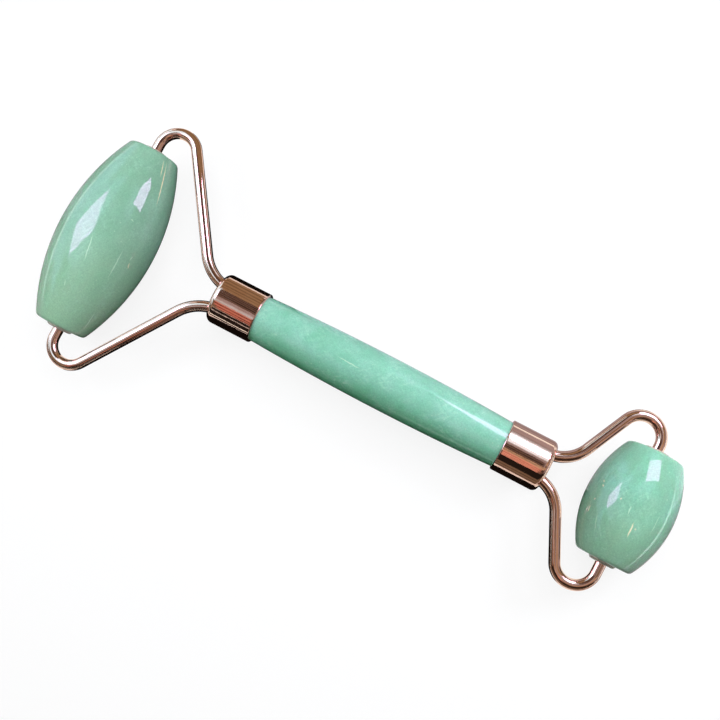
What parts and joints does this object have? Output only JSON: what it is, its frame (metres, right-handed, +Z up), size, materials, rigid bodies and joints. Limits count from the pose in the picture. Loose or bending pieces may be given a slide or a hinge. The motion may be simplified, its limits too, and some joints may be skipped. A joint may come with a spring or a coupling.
{
  "type": "stone face roller",
  "caption": "Hand-held face massager: a slim stone handle with a forked wire frame at each end, one carrying a long stone barrel roller and one a short one, each free to spin.",
  "frame": {"origin": "middle of the part's footprint on the table that it lies on, under the handle", "axes": "+X along the handle from the large roller to the small roller, +Y along both roller axles, +Z up from the table"},
  "size_m": [0.1448, 0.059, 0.0213],
  "materials": {
    "roller_stone": "polished pale green stone with fine clouds and pale flecks",
    "handle_stone": "polished mint green stone with fibrous clouds",
    "plated_metal": "bright rose gold plating",
    "clear_plastic": "clear moulded plastic, slightly grey",
    "cured_resin": "cast resin, hidden inside the caps"
  },
  "bodies": {
    "handle_and_frames": {"handle": "handle_stone", "large_cap": "plated_metal", "small_cap": "plated_metal", "large_filler": "cured_resin", "small_filler": "cured_resin", "large_frame": "plated_metal", "small_frame": "plated_metal"},
    "large_roller": {"large_roller": "roller_stone", "large_bush_a": "clear_plastic", "large_bush_b": "clear_plastic"},
    "small_roller": {"small_roller": "roller_stone", "small_bush_a": "clear_plastic", "small_bush_b": "clear_plastic"}
  },
  "joints": [
    {"name": "large_roller_spin", "type": "hinge", "parent": "handle_and_frames", "child": "large_roller", "pos_m": [-0.06174, 0, 0.01065], "axis": [0, 1, 0], "continuous": true},
    {"name": "small_roller_spin", "type": "hinge", "parent": "handle_and_frames", "child": "small_roller", "pos_m": [0.06304, 0, 0.00935], "axis": [0, 1, 0], "continuous": true}
  ]
}
